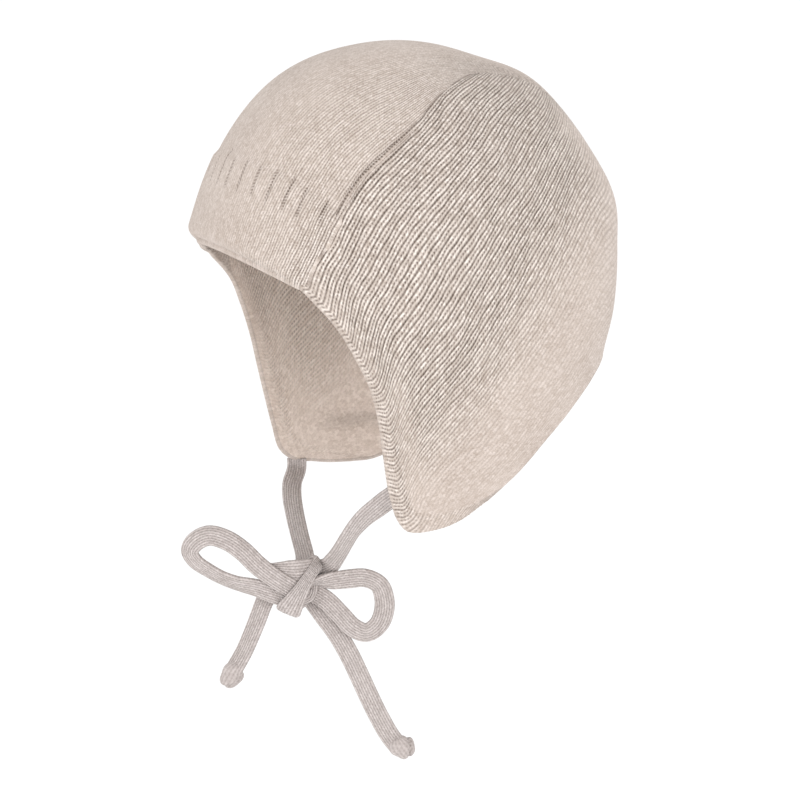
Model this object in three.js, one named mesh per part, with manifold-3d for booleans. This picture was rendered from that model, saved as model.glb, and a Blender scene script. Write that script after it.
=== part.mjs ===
// Knitted baby bonnet: a centre band with a folded rib cuff, two side panels with
// ear flaps, and two flat knitted ties in a bow below the chin.
// Millimetres, +Z up, the face looks along -Y, the wearer's left is +X.
// The origin is at the inside top of the crown, where the cap sits on a head.
import * as THREE from "three";
import { mergeVertices } from "three/addons/utils/BufferGeometryUtils.js";
import Module from "manifold-3d";

const wasm = await Module();
wasm.setup();

// Cap sizes
const wall = 2.5; // thickness of the knitted wall
const halfWidth = 66; // widest half width, ear to middle
const halfLength = 100; // from the ear axis to the front or back, before the profile's shares
const crownRise = 122.5; // from the ear axis to the top of the crown
const boxiness = 2.3; // exponent of the cross sections, 2 is an ellipse
const browAngle = 30.5; // brow edge of the band, degrees above the front
const turnAngle = 100; // where the seam turns down the back
const napeAngle = 179; // neck edge of the band, degrees over the crown
const cuffAngle = 19.5; // angle that the folded cuff covers
const cuffFade = 2; // half of the angle over which the cuff steps down
const cuffStep = 0.9; // how far the folded cuff stands proud
const flapDrop = 55; // from the ear axis down to the flap tip
const flapSetback = 37.5; // from the brow corner back to the flap tip
const bandFront = 47; // half width of the band at the brow
const bandBack = 21; // half width of the band at the nape
const seamGap = 0.4; // gap between neighbouring panels at a seam
const clearance = 0.3; // gap between pieces that touch

// Tie sizes
const tieWidth = 8; // width of a flat tie
const tieThickness = 2.6;
const bowTurn = 64; // azimuth that the bow faces, degrees from the front towards the left ear
const bowForward = 47; // bow knot in front of the ear axis
const bowDrop = 91; // bow knot below the ear axis
const bowKnotSize = { width: 12.4, height: 24, depth: 12, lean: 24 };
const endKnotSize = { width: 10.5, height: 8.6, depth: 8.4 };

// Mesh density
const bandRows = 36;
const bandColumns = 12;
const panelRows = 20;
const panelColumns = 26;
const columnCrowding = 0.6; // how far a panel's columns crowd towards its back seam, 0 to 1
const ribbonStepsPerRow = 2;
const knotSides = 12;
const knotRings = 8;
const mergeDistance = 1e-4;

// Where the straps are sewn: the left one inside its flap, measured from the flap tip,
// the right one under the hem of its flap. A strap's flat end stays so many clearances
// off the curved knit.
const leftSeat = { forward: 4, up: 13, clearances: 1.5 };
const rightSeat = { back: 3, clearances: 3.5 };
const strapExit = 4; // straight length of a strap where it leaves its flap

const degrees = Math.PI / 180;
const mid = (a, b, t) => a + (b - a) * t;

// Middle profile round the ear axis: angle from the front over the crown to the back,
// and the radius as a share of the ellipse of halfLength and crownRise.
const profileRows = [
  { angle: -70, share: 1.176 },
  { angle: -35, share: 1.141 },
  { angle: 0, share: 1.03 },
  { angle: 30, share: 0.977 },
  { angle: 60, share: 1.048 },
  { angle: 90, share: 1 },
  { angle: 120, share: 1.013 },
  { angle: 150, share: 0.948 },
  { angle: 180, share: 0.8 },
  { angle: 210, share: 0.747 },
  { angle: 240, share: 0.797 },
  { angle: 270, share: 0.963 },
];

// Half width of the centre band: 1 is bandFront, 0 is bandBack.
const bandRowsByAngle = [
  { angle: 20, share: 0.98 },
  { angle: 50, share: 1.02 },
  { angle: 70, share: 1 },
  { angle: 80, share: 0.88 },
  { angle: 90, share: 0.56 },
  { angle: 98, share: 0.26 },
  { angle: 107, share: 0.06 },
  { angle: 120, share: 0 },
  { angle: 150, share: 0 },
  { angle: 200, share: 0 },
];

// Front edge of a side panel, from the brow corner to the flap tip.
const frontEdgeRows = [
  { down: 0.145, back: 0.215 },
  { down: 0.28, back: 0.39 },
  { down: 0.416, back: 0.508 },
  { down: 0.557, back: 0.58 },
  { down: 0.698, back: 0.645 },
  { down: 0.84, back: 0.722 },
  { down: 0.945, back: 0.84 },
];

// Neck edge of a side panel, from the flap tip to the nape.
// The left one rises in a straight slope, the right one hangs lower behind its tip.
const hemRows = {
  left: [
    { back: 0, up: 0 },
    { back: 0.11, up: 0.035 },
    { back: 0.21, up: 0.135 },
    { back: 0.31, up: 0.255 },
    { back: 0.415, up: 0.395 },
    { back: 0.525, up: 0.565 },
    { back: 0.645, up: 0.74 },
    { back: 0.76, up: 0.885 },
    { back: 0.88, up: 0.97 },
  ],
  right: [
    { back: 0, up: 0 },
    { back: 0.09, up: -0.02 },
    { back: 0.19, up: -0.038 },
    { back: 0.29, up: -0.035 },
    { back: 0.39, up: 0.01 },
    { back: 0.5, up: 0.12 },
    { back: 0.62, up: 0.33 },
    { back: 0.74, up: 0.58 },
    { back: 0.87, up: 0.85 },
  ],
};
const hemSplit = 3; // row of the hem where the flap's rounded end stops

// Routes of the ties, chosen by eye, from the bow knot's centre: right and up across the bow,
// forward out of it, and the turn of the flat face about the route in degrees.
const strapRoutes = {
  left: [
    { right: 34, up: 46.9, forward: 39.1, turn: 10 },
    { right: 29.8, up: 42.6, forward: 35.2, turn: 0 },
    { right: 25, up: 37, forward: 30.4, turn: -20 },
    { right: 20, up: 28.5, forward: 22, turn: -45 },
    { right: 15.2, up: 20, forward: 13, turn: -35 },
    { right: 11, up: 13.6, forward: 5, turn: -15 },
    { right: 7.4, up: 9.8, forward: 0.4, turn: 0 },
    { right: 3, up: 7, forward: -1, turn: 0 },
  ],
  right: [
    { right: -6.4, up: 28.4, forward: -55.4, turn: 0 },
    { right: -6.2, up: 25.3, forward: -47.1, turn: 0 },
    { right: -4.6, up: 20.8, forward: -35.6, turn: 5 },
    { right: -2.2, up: 15.6, forward: -23, turn: 10 },
    { right: 0.2, up: 10.4, forward: -11.4, turn: 10 },
    { right: 1, up: 6, forward: -5, turn: 5 },
    { right: 1, up: 2, forward: -1.6, turn: 0 },
  ],
};
const loopRoutes = {
  left: [
    { right: -1, up: 4, forward: 1.8, turn: 0 },
    { right: -6.6, up: 6.3, forward: 1.9, turn: 0 },
    { right: -13, up: 9.2, forward: 2, turn: 5 },
    { right: -18.4, up: 13.8, forward: 2, turn: 10 },
    { right: -24.1, up: 18.9, forward: 1.8, turn: 15 },
    { right: -30.6, up: 21.5, forward: 1.4, turn: 25 },
    { right: -37.8, up: 21.5, forward: 0.8, turn: 35 },
    { right: -43.2, up: 18.8, forward: 0, turn: 50 },
    { right: -45, up: 14.6, forward: -0.8, turn: 45 },
    { right: -42.2, up: 10.3, forward: -1.2, turn: 30 },
    { right: -36.7, up: 6, forward: -1.5, turn: 20 },
    { right: -30.2, up: 2.3, forward: -1.6, turn: 10 },
    { right: -23.7, up: 0.4, forward: -1.7, turn: 0 },
    { right: -17.2, up: -0.5, forward: -1.8, turn: 0 },
    { right: -10.6, up: -0.8, forward: -1.8, turn: 0 },
    { right: -2, up: -0.8, forward: -1.8, turn: 0 },
  ],
  right: [
    { right: 1, up: 2.6, forward: 1.6, turn: 84 },
    { right: 6, up: 3, forward: 1.8, turn: 84 },
    { right: 12, up: 3.8, forward: 2, turn: 80 },
    { right: 18.2, up: 4.6, forward: 2, turn: 70 },
    { right: 24.6, up: 4.6, forward: 1.8, turn: 50 },
    { right: 29.6, up: 2.2, forward: 1.4, turn: 25 },
    { right: 32, up: -3.2, forward: 1.2, turn: 8 },
    { right: 32, up: -9, forward: 1.1, turn: 0 },
    { right: 29.8, up: -14.6, forward: 1, turn: -5 },
    { right: 25.2, up: -17.9, forward: 1, turn: -5 },
    { right: 20, up: -16, forward: 1.2, turn: 0 },
    { right: 14.6, up: -10.4, forward: 0.9, turn: 0 },
    { right: 9, up: -4.8, forward: 0.2, turn: 0 },
    { right: 3, up: -1.4, forward: -0.8, turn: 0 },
  ],
};
const tailRoutes = {
  left: [
    { right: -3, up: 0, forward: -4.8, turn: 0 },
    { right: -9, up: 0.4, forward: -5.2, turn: 0 },
    { right: -13.4, up: -2.6, forward: -5.2, turn: 0 },
    { right: -15.8, up: -7.4, forward: -4.4, turn: 0 },
    { right: -18, up: -13.6, forward: -3, turn: 5 },
    { right: -20.8, up: -20.4, forward: -1.6, turn: 5 },
    { right: -23.6, up: -26.6, forward: -0.6, turn: 5 },
    { right: -26.2, up: -31.6, forward: 0, turn: 0 },
    { right: -28.5, up: -36, forward: 0, turn: 0 },
  ],
  right: [
    { right: 0.8, up: -2, forward: -4, turn: 0 },
    { right: 4, up: -6.6, forward: -4, turn: 0 },
    { right: 8.3, up: -12.8, forward: -3.6, turn: 0 },
    { right: 13.5, up: -20, forward: -2.8, turn: 0 },
    { right: 18.1, up: -28, forward: -1.8, turn: 0 },
    { right: 22, up: -36.2, forward: -0.8, turn: 0 },
    { right: 25.9, up: -45, forward: -0.4, turn: 0 },
    { right: 30.2, up: -54, forward: 0, turn: 0 },
    { right: 34.4, up: -61.6, forward: 0, turn: 0 },
    { right: 38.6, up: -67, forward: 0, turn: 0 },
  ],
};

// Knit materials
const capKnit = new THREE.MeshStandardMaterial({ color: 0xe0d2c6, roughness: 0.95, metalness: 0 });
const tieKnit = new THREE.MeshStandardMaterial({ color: 0xd2c8c2, roughness: 0.95, metalness: 0 });

// Smooth value of one column of a table, keyed by angle. A period joins its last row to its first.
function smoothValue(rows, angle, period = 0) {
  const first = rows[0].angle;
  const key = period ? first + (((angle - first) % period) + period) % period : angle;
  const rowAt = (i) => {
    if (!period) {
      return rows[Math.min(Math.max(i, 0), rows.length - 1)];
    }
    const turns = Math.floor(i / rows.length);
    const row = rows[i - turns * rows.length];
    return { angle: row.angle + turns * period, share: row.share };
  };
  let i = 0;
  while (i < rows.length - (period ? 1 : 2) && rowAt(i + 1).angle <= key) {
    i += 1;
  }
  const a = rowAt(i);
  const b = rowAt(i + 1);
  const slopeAt = (k) => {
    const before = rowAt(k - 1);
    const after = rowAt(k + 1);
    return (after.share - before.share) / (after.angle - before.angle);
  };
  const span = b.angle - a.angle;
  const t = Math.min(Math.max((key - a.angle) / span, 0), 1);
  const t2 = t * t;
  const t3 = t2 * t;
  const ends = (2 * t3 - 3 * t2 + 1) * a.share + (3 * t2 - 2 * t3) * b.share;
  return ends + (t3 - 2 * t2 + t) * span * slopeAt(i) + (t3 - t2) * span * slopeAt(i + 1);
}

// Radius of the middle profile at an angle
function profileRadius(angle) {
  const along = Math.cos(angle * degrees) / halfLength;
  const rise = Math.sin(angle * degrees) / crownRise;
  return smoothValue(profileRows, angle, 360) / Math.hypot(along, rise);
}

function bandHalfWidth(angle) {
  return mid(bandBack, bandFront, smoothValue(bandRowsByAngle, angle));
}

// Point of the cap's outer surface at an angle of the profile and a distance from the middle
function surfacePoint(angle, x) {
  const share = Math.pow(1 - Math.pow(Math.abs(x) / halfWidth, boxiness), 1 / boxiness);
  const radius = profileRadius(angle) * share;
  return new THREE.Vector3(x, -radius * Math.cos(angle * degrees), radius * Math.sin(angle * degrees));
}

// Half width of the outer surface at a point of the side view
function sideWidth(y, z) {
  const angle = Math.atan2(z, -y) / degrees;
  const share = Math.hypot(y, z) / profileRadius(angle);
  return halfWidth * Math.pow(Math.max(1 - Math.pow(share, boxiness), 0), 1 / boxiness);
}

// A point moved in from the outer surface by a depth
function inward(point, depth) {
  const angle = Math.atan2(point.z, -point.y) / degrees;
  const radial = (profileRadius(angle) - depth) / profileRadius(angle);
  const across = (halfWidth - depth) / halfWidth;
  return new THREE.Vector3(point.x * across, point.y * radial, point.z * radial);
}

// Closed shell between two grids of points, outer and inner, with walls round the rim
function shellGeometry(rows, columns, outer, inner, flip) {
  const positions = [];
  const index = [];
  const id = (side, i, j) => side * (rows + 1) * (columns + 1) + i * (columns + 1) + j;
  for (const side of [outer, inner]) {
    for (let i = 0; i <= rows; i += 1) {
      for (let j = 0; j <= columns; j += 1) {
        positions.push(...side(i / rows, j / columns).toArray());
      }
    }
  }
  const quad = (a, b, c, d) => {
    index.push(...(flip ? [a, b, c, a, c, d] : [a, c, b, a, d, c]));
  };
  for (let i = 0; i < rows; i += 1) {
    for (let j = 0; j < columns; j += 1) {
      quad(id(0, i, j), id(0, i + 1, j), id(0, i + 1, j + 1), id(0, i, j + 1));
      quad(id(1, i, j), id(1, i, j + 1), id(1, i + 1, j + 1), id(1, i + 1, j));
    }
  }
  for (let i = 0; i < rows; i += 1) {
    quad(id(0, i, 0), id(1, i, 0), id(1, i + 1, 0), id(0, i + 1, 0));
    quad(id(0, i, columns), id(0, i + 1, columns), id(1, i + 1, columns), id(1, i, columns));
  }
  for (let j = 0; j < columns; j += 1) {
    quad(id(0, 0, j), id(0, 0, j + 1), id(1, 0, j + 1), id(1, 0, j));
    quad(id(0, rows, j), id(1, rows, j), id(1, rows, j + 1), id(0, rows, j + 1));
  }
  const geometry = new THREE.BufferGeometry();
  geometry.setAttribute("position", new THREE.Float32BufferAttribute(positions, 3));
  geometry.setIndex(index);
  geometry.computeVertexNormals();
  return geometry;
}

// Centre band from the brow over the crown to the nape, with the folded cuff at its front
function centerBand() {
  const outer = (s, t) => {
    const angle = mid(browAngle, napeAngle, s);
    const point = surfacePoint(angle, (bandHalfWidth(angle) - seamGap / 2) * (2 * t - 1));
    const cuffEnd = browAngle + cuffAngle;
    const fade = THREE.MathUtils.smoothstep(angle, cuffEnd - cuffFade, cuffEnd + cuffFade);
    return inward(point, -cuffStep * (1 - fade));
  };
  const inner = (s, t) => {
    const angle = mid(browAngle, napeAngle, s);
    return inward(surfacePoint(angle, (bandHalfWidth(angle) - seamGap / 2) * (2 * t - 1)), wall);
  };
  return shellGeometry(bandRows, bandColumns, outer, inner, false);
}

// Side view of the seam, as a point of y and z
function seamPoint(angle) {
  const point = surfacePoint(angle, bandHalfWidth(angle) + seamGap / 2);
  return new THREE.Vector2(point.y, point.z);
}

const browCorner = seamPoint(browAngle);
const napeCorner = seamPoint(napeAngle);
const flapTip = new THREE.Vector2(browCorner.x + flapSetback, -flapDrop);

// A smooth curve through side view points, read by its share of the length
function edgeCurve(points) {
  const curve = new THREE.CatmullRomCurve3(
    points.map((p) => new THREE.Vector3(p.x, p.y, 0)),
    false,
    "centripetal",
  );
  return (t) => {
    const point = curve.getPointAt(Math.min(Math.max(t, 0), 1));
    return new THREE.Vector2(point.x, point.y);
  };
}

// Side view point at two shares of the way from one corner to another
function between(from, to, back, rise) {
  return new THREE.Vector2(mid(from.x, to.x, back), mid(from.y, to.y, rise));
}

function frontEdge() {
  return [browCorner, ...frontEdgeRows.map((row) => between(browCorner, flapTip, row.back, row.down))];
}

function hemEdge(side) {
  return [...hemRows[side].map((row) => between(flapTip, napeCorner, row.back, row.up)), napeCorner];
}

// Side panel as a four-sided patch in side view, lifted onto the cap's surface:
// the seam to the crown, the back seam, the hem, and the front edge with the flap's round end
function sidePanel(side) {
  const sign = side === "left" ? 1 : -1;
  const hem = hemEdge(side);
  const front = edgeCurve([...frontEdge(), ...hem.slice(0, hemSplit + 1)]);
  const lower = edgeCurve(hem.slice(hemSplit));
  const top = (u) => seamPoint(mid(browAngle, turnAngle, u));
  const back = (v) => seamPoint(mid(turnAngle, napeAngle, v));
  const patch = (u, v) => {
    const blend = (a, b, t) => a.clone().lerp(b, t);
    const ruledDown = blend(top(u), lower(u), v);
    const ruledBack = blend(front(v), back(v), u);
    const corners = blend(blend(top(0), top(1), u), blend(lower(0), lower(1), u), v);
    return ruledDown.add(ruledBack).sub(corners);
  };
  const outer = (s, t) => {
    const u = mid(t, Math.sin((t * Math.PI) / 2), columnCrowding);
    const point = patch(u, s);
    return new THREE.Vector3(sign * sideWidth(point.x, point.y), point.x, point.y);
  };
  const inner = (s, t) => inward(outer(s, t), wall);
  return shellGeometry(panelRows, panelColumns, outer, inner, sign > 0);
}

// Axes of the bow: right and up across it, forward out of it
const bowCenter = new THREE.Vector3(0, -bowForward, -bowDrop);
const bowRight = new THREE.Vector3(Math.cos(bowTurn * degrees), Math.sin(bowTurn * degrees), 0);
const bowUp = new THREE.Vector3(0, 0, 1);
const bowOut = new THREE.Vector3(Math.sin(bowTurn * degrees), -Math.cos(bowTurn * degrees), 0);

function bowPoint(row) {
  if (row.point) {
    return row.point.clone();
  }
  return bowCenter
    .clone()
    .addScaledVector(bowRight, row.right)
    .addScaledVector(bowUp, row.up)
    .addScaledVector(bowOut, row.forward);
}

// Outward direction of the cap's surface at a point of the side view
function surfaceNormal(y, z) {
  const reach = 0.5;
  const slopeY = (sideWidth(y + reach, z) - sideWidth(y - reach, z)) / (2 * reach);
  const slopeZ = (sideWidth(y, z + reach) - sideWidth(y, z - reach)) / (2 * reach);
  return new THREE.Vector3(1, -slopeY, -slopeZ).normalize();
}

// The straps' first rows: square out of the left flap's inner face, and straight down
// from the middle of the right flap's hem
function strapStart(side) {
  if (side === "left") {
    const y = flapTip.x - leftSeat.forward;
    const z = flapTip.y + leftSeat.up;
    const skin = new THREE.Vector3(sideWidth(y, z), y, z);
    const normal = surfaceNormal(y, z);
    const seat = inward(skin, wall).addScaledVector(normal, -leftSeat.clearances * clearance);
    return [seat, seat.clone().addScaledVector(normal, -strapExit)];
  }
  const hem = edgeCurve(hemEdge(side))(rightSeat.back / (napeCorner.x - flapTip.x));
  const skin = new THREE.Vector3(-sideWidth(hem.x, hem.y), hem.x, hem.y);
  const below = (point, drop) => point.clone().add(new THREE.Vector3(0, 0, -drop));
  const seat = below(inward(skin, wall / 2), rightSeat.clearances * clearance);
  return [seat, below(seat, strapExit)];
}

function strapRoute(side) {
  const turn = strapRoutes[side][0].turn;
  return [...strapStart(side).map((point) => ({ point, turn })), ...strapRoutes[side]];
}

// Outline of a flat tie, as shares of its half width and half thickness
const ribbonOutline = [
  { width: 1, thick: 0 },
  { width: 0.82, thick: 0.88 },
  { width: 0, thick: 1 },
  { width: -0.82, thick: 0.88 },
  { width: -1, thick: 0 },
  { width: -0.82, thick: -0.88 },
  { width: 0, thick: -1 },
  { width: 0.82, thick: -0.88 },
];

// Flat tie swept along a route, its face turned about the route by each row's turn
function ribbonGeometry(route) {
  const curve = new THREE.CatmullRomCurve3(route.map(bowPoint), false, "centripetal");
  const steps = (route.length - 1) * ribbonStepsPerRow;
  const sides = ribbonOutline.length;
  const positions = [];
  const index = [];
  for (let i = 0; i <= steps; i += 1) {
    const t = i / steps;
    const center = curve.getPoint(t);
    const tangent = curve.getTangent(t);
    const row = Math.min(Math.floor(t * (route.length - 1)), route.length - 2);
    const turn = mid(route[row].turn, route[row + 1].turn, t * (route.length - 1) - row) * degrees;
    const across = bowOut.clone().cross(tangent).normalize();
    const face = tangent.clone().cross(across).normalize();
    const wide = across.clone().multiplyScalar(Math.cos(turn)).addScaledVector(face, Math.sin(turn));
    const thin = face.clone().multiplyScalar(Math.cos(turn)).addScaledVector(across, -Math.sin(turn));
    for (const p of ribbonOutline) {
      const point = center
        .clone()
        .addScaledVector(wide, (p.width * tieWidth) / 2)
        .addScaledVector(thin, (p.thick * tieThickness) / 2);
      positions.push(...point.toArray());
    }
  }
  for (let i = 0; i < steps; i += 1) {
    for (let k = 0; k < sides; k += 1) {
      const a = i * sides + k;
      const b = i * sides + ((k + 1) % sides);
      index.push(a, b, b + sides, a, b + sides, a + sides);
    }
  }
  for (let k = 1; k < sides - 1; k += 1) {
    const end = steps * sides;
    index.push(0, k + 1, k);
    index.push(end, end + k, end + k + 1);
  }
  const geometry = new THREE.BufferGeometry();
  geometry.setAttribute("position", new THREE.Float32BufferAttribute(positions, 3));
  geometry.setIndex(index);
  return geometry;
}

// Rounded lump for a knot, grown by a clearance where it is used to cut a tie
function lumpGeometry(size, row, grow) {
  const geometry = new THREE.SphereGeometry(1, knotSides, knotRings);
  geometry.scale(size.width / 2 + grow, size.height / 2 + grow, size.depth / 2 + grow);
  geometry.rotateZ(-(size.lean ?? 0) * degrees);
  const center = bowPoint(row);
  geometry.applyMatrix4(new THREE.Matrix4().makeBasis(bowRight, bowUp, bowOut).setPosition(center));
  return geometry;
}

function toSolid(geometry) {
  const bare = geometry.clone();
  bare.deleteAttribute("normal");
  bare.deleteAttribute("uv");
  const merged = mergeVertices(bare, mergeDistance);
  const mesh = new wasm.Mesh({
    numProp: 3,
    vertProperties: Float32Array.from(merged.attributes.position.array),
    triVerts: Uint32Array.from(merged.index.array),
  });
  return new wasm.Manifold(mesh);
}

function toGeometry(solid) {
  const mesh = solid.getMesh();
  const geometry = new THREE.BufferGeometry();
  geometry.setAttribute("position", new THREE.BufferAttribute(mesh.vertProperties, 3));
  geometry.setIndex(new THREE.BufferAttribute(mesh.triVerts, 1));
  geometry.computeVertexNormals();
  return geometry;
}

// A tie with the lumps that it runs into cut away, each with its clearance.
// Of what is left the largest solid is kept, so that no crumb stays inside a knot's far side.
function cutRibbon(route, lumps) {
  let solid = toSolid(ribbonGeometry(route));
  for (const lump of lumps) {
    solid = solid.subtract(toSolid(lump));
  }
  const pieces = solid.decompose();
  pieces.sort((a, b) => b.volume() - a.volume());
  return toGeometry(pieces[0]);
}

const cap = new THREE.Group();
cap.position.z = -(crownRise - wall);

function add(name, geometry, material) {
  const mesh = new THREE.Mesh(geometry, material);
  mesh.name = name;
  cap.add(mesh);
}

const knotRow = { right: 0, up: 0, forward: 0 };
const grownKnot = lumpGeometry(bowKnotSize, knotRow, clearance);

add("center_band", centerBand(), capKnit);
add("bow_knot", lumpGeometry(bowKnotSize, knotRow, 0), tieKnit);
for (const side of ["left", "right"]) {
  const tail = tailRoutes[side];
  const endRow = tail[tail.length - 1];
  add(`side_panel_${side}`, sidePanel(side), capKnit);
  add(`tie_strap_${side}`, cutRibbon(strapRoute(side), [grownKnot]), tieKnit);
  add(`bow_loop_${side}`, cutRibbon(loopRoutes[side], [grownKnot]), tieKnit);
  add(
    `tie_tail_${side}`,
    cutRibbon(tail, [grownKnot, lumpGeometry(endKnotSize, endRow, clearance)]),
    tieKnit,
  );
  add(`end_knot_${side}`, lumpGeometry(endKnotSize, endRow, 0), tieKnit);
}

const bonnet = new THREE.Group();
bonnet.add(cap);

export default bonnet;
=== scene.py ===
"""The looks of a knitted baby bonnet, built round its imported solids.

Metres, +Z up, the face looks along -Y and the wearer's left is +X. Lengths are written in
millimetres from the ear axis, and place() turns them into the part's metres.
"""
import math

import bpy
import numpy as np
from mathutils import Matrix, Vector


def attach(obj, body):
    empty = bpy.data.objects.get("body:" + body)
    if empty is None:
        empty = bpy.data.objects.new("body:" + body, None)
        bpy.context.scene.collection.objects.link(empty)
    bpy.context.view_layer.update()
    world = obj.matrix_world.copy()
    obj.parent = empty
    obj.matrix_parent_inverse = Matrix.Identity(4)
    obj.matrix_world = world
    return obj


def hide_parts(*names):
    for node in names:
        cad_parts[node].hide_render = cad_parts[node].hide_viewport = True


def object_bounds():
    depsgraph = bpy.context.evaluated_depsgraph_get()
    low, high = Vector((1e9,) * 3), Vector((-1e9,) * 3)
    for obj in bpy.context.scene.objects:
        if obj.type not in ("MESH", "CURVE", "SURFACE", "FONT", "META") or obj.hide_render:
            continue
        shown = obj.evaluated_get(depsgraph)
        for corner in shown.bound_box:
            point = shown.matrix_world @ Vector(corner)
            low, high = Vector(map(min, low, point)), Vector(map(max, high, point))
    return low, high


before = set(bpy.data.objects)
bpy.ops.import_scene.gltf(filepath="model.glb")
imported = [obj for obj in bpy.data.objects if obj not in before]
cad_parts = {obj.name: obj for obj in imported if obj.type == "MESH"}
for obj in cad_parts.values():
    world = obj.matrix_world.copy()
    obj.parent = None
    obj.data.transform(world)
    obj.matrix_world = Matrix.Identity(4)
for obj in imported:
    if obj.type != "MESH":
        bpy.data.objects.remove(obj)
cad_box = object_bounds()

MM = 0.001

# Cap sizes, as in the solids. The tables below differ from theirs by some millimetres.
WALL = 2.5
HALF_WIDTH = 66.0
HALF_LENGTH = 100.0
CROWN_RISE = 122.5
BOXINESS = 2.3  # power of the section across the cap: 2 is an ellipse
BROW_ANGLE = 30.5
SEAM_SPLIT = 96.0  # the columns of a side panel run into the seam behind this angle
NAPE_ANGLE = 179.0
CUFF_ANGLE = 19.5  # from the brow to the end of the cuff
CUFF_STEP = 0.9
FLAP_DROP = 55.0  # from the ear axis down to the flap tip
FLAP_SETBACK = 37.5  # from the brow corner back to the flap tip
BAND_FRONT = 47.0  # half width of the band at the brow
BAND_BACK = 21.0  # half width of the band at the nape
EAR_AXIS = np.array([0.0, 0.0, -(CROWN_RISE - WALL)])

# Knit sizes
COURSE = 1.4  # height of one stitch
TIE_COURSE = 1.5  # height of one stitch of a tie
PANEL_WALES = 44  # columns of stitches from the seam to the hem of a side panel
PANEL_WALE = 3.1  # width of one column of stitches there
BAND_WALE = 2.6  # width of one column of stitches on the centre band
GROOVE_DEPTH = 0.55  # between two columns of stitches
SPLIT_DEPTH = 0.35  # between the two legs of a column

# Camera
VIEW_AZIMUTH = 64.0
VIEW_ELEVATION = 12.0
VIEW_DISTANCE = 1050.0
PIXELS_PER_MM = 2.53
FRAME_PIXELS = 800
AIM_PIXEL = (410, 352)  # where the ear axis' middle lies in the picture
SENSOR = 36.0
CLIP_END = 100.0

# Bow and ties
TIE_WIDTH = 8.0
TIE_THICKNESS = 2.6
TIE_WALES = 4  # columns of stitches across a tie
BOW_TURN = 64.0  # azimuth that the bow faces
BOW_FORWARD = 47.0  # bow knot in front of the ear axis
BOW_DROP = 91.0  # bow knot below the ear axis

# Middle profile round the ear axis: share of the ellipse of HALF_LENGTH and CROWN_RISE
PROFILE = [
    dict(angle=-70, share=1.176),
    dict(angle=-35, share=1.141),
    dict(angle=0, share=1.03),
    dict(angle=30, share=0.972),
    dict(angle=60, share=1.05),
    dict(angle=82, share=1.013),
    dict(angle=94, share=0.996),
    dict(angle=104, share=0.981),
    dict(angle=116, share=0.988),
    dict(angle=130, share=0.976),
    dict(angle=142, share=0.964),
    dict(angle=150, share=0.909),
    dict(angle=165, share=0.825),
    dict(angle=180, share=0.745),
    dict(angle=210, share=0.735),
    dict(angle=240, share=0.797),
    dict(angle=270, share=0.963),
]

# Half width of the centre band: 1 is BAND_FRONT, 0 is BAND_BACK
BAND_ROWS = [
    dict(angle=20, share=0.98),
    dict(angle=37, share=1.01),
    dict(angle=45, share=1.07),
    dict(angle=60, share=1.07),
    dict(angle=70, share=1.03),
    dict(angle=80, share=0.88),
    dict(angle=90, share=0.56),
    dict(angle=98, share=0.26),
    dict(angle=107, share=0.06),
    dict(angle=120, share=0.0),
    dict(angle=150, share=0.0),
    dict(angle=200, share=0.0),
]

# Front edge of a side panel, from the brow corner to the flap tip
FRONT_EDGES = {
    "left": [
        dict(down=0.145, back=0.28),
        dict(down=0.28, back=0.46),
        dict(down=0.416, back=0.6),
        dict(down=0.557, back=0.675),
        dict(down=0.698, back=0.727),
        dict(down=0.84, back=0.795),
        dict(down=0.945, back=0.89),
    ],
    "right": [
        dict(down=0.145, back=0.365),
        dict(down=0.28, back=0.535),
        dict(down=0.416, back=0.66),
        dict(down=0.557, back=0.75),
        dict(down=0.698, back=0.835),
        dict(down=0.84, back=0.92),
        dict(down=0.945, back=0.995),
    ],
}

# Neck edge of a side panel, from the flap tip to the nape
HEMS = {
    "left": [
        dict(back=0.0, up=0.015),
        dict(back=0.1, up=0.01),
        dict(back=0.2, up=0.055),
        dict(back=0.31, up=0.17),
        dict(back=0.415, up=0.325),
        dict(back=0.525, up=0.5),
        dict(back=0.645, up=0.67),
        dict(back=0.76, up=0.835),
        dict(back=0.88, up=0.96),
    ],
    "right": [
        dict(back=0.06, up=0.0),
        dict(back=0.13, up=-0.02),
        dict(back=0.21, up=-0.042),
        dict(back=0.3, up=-0.05),
        dict(back=0.4, up=-0.04),
        dict(back=0.5, up=0.04),
        dict(back=0.62, up=0.3),
        dict(back=0.74, up=0.58),
        dict(back=0.87, up=0.85),
    ],
}
HEM_SPLIT = 3  # row of the hem where the flap's rounded end stops

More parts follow.
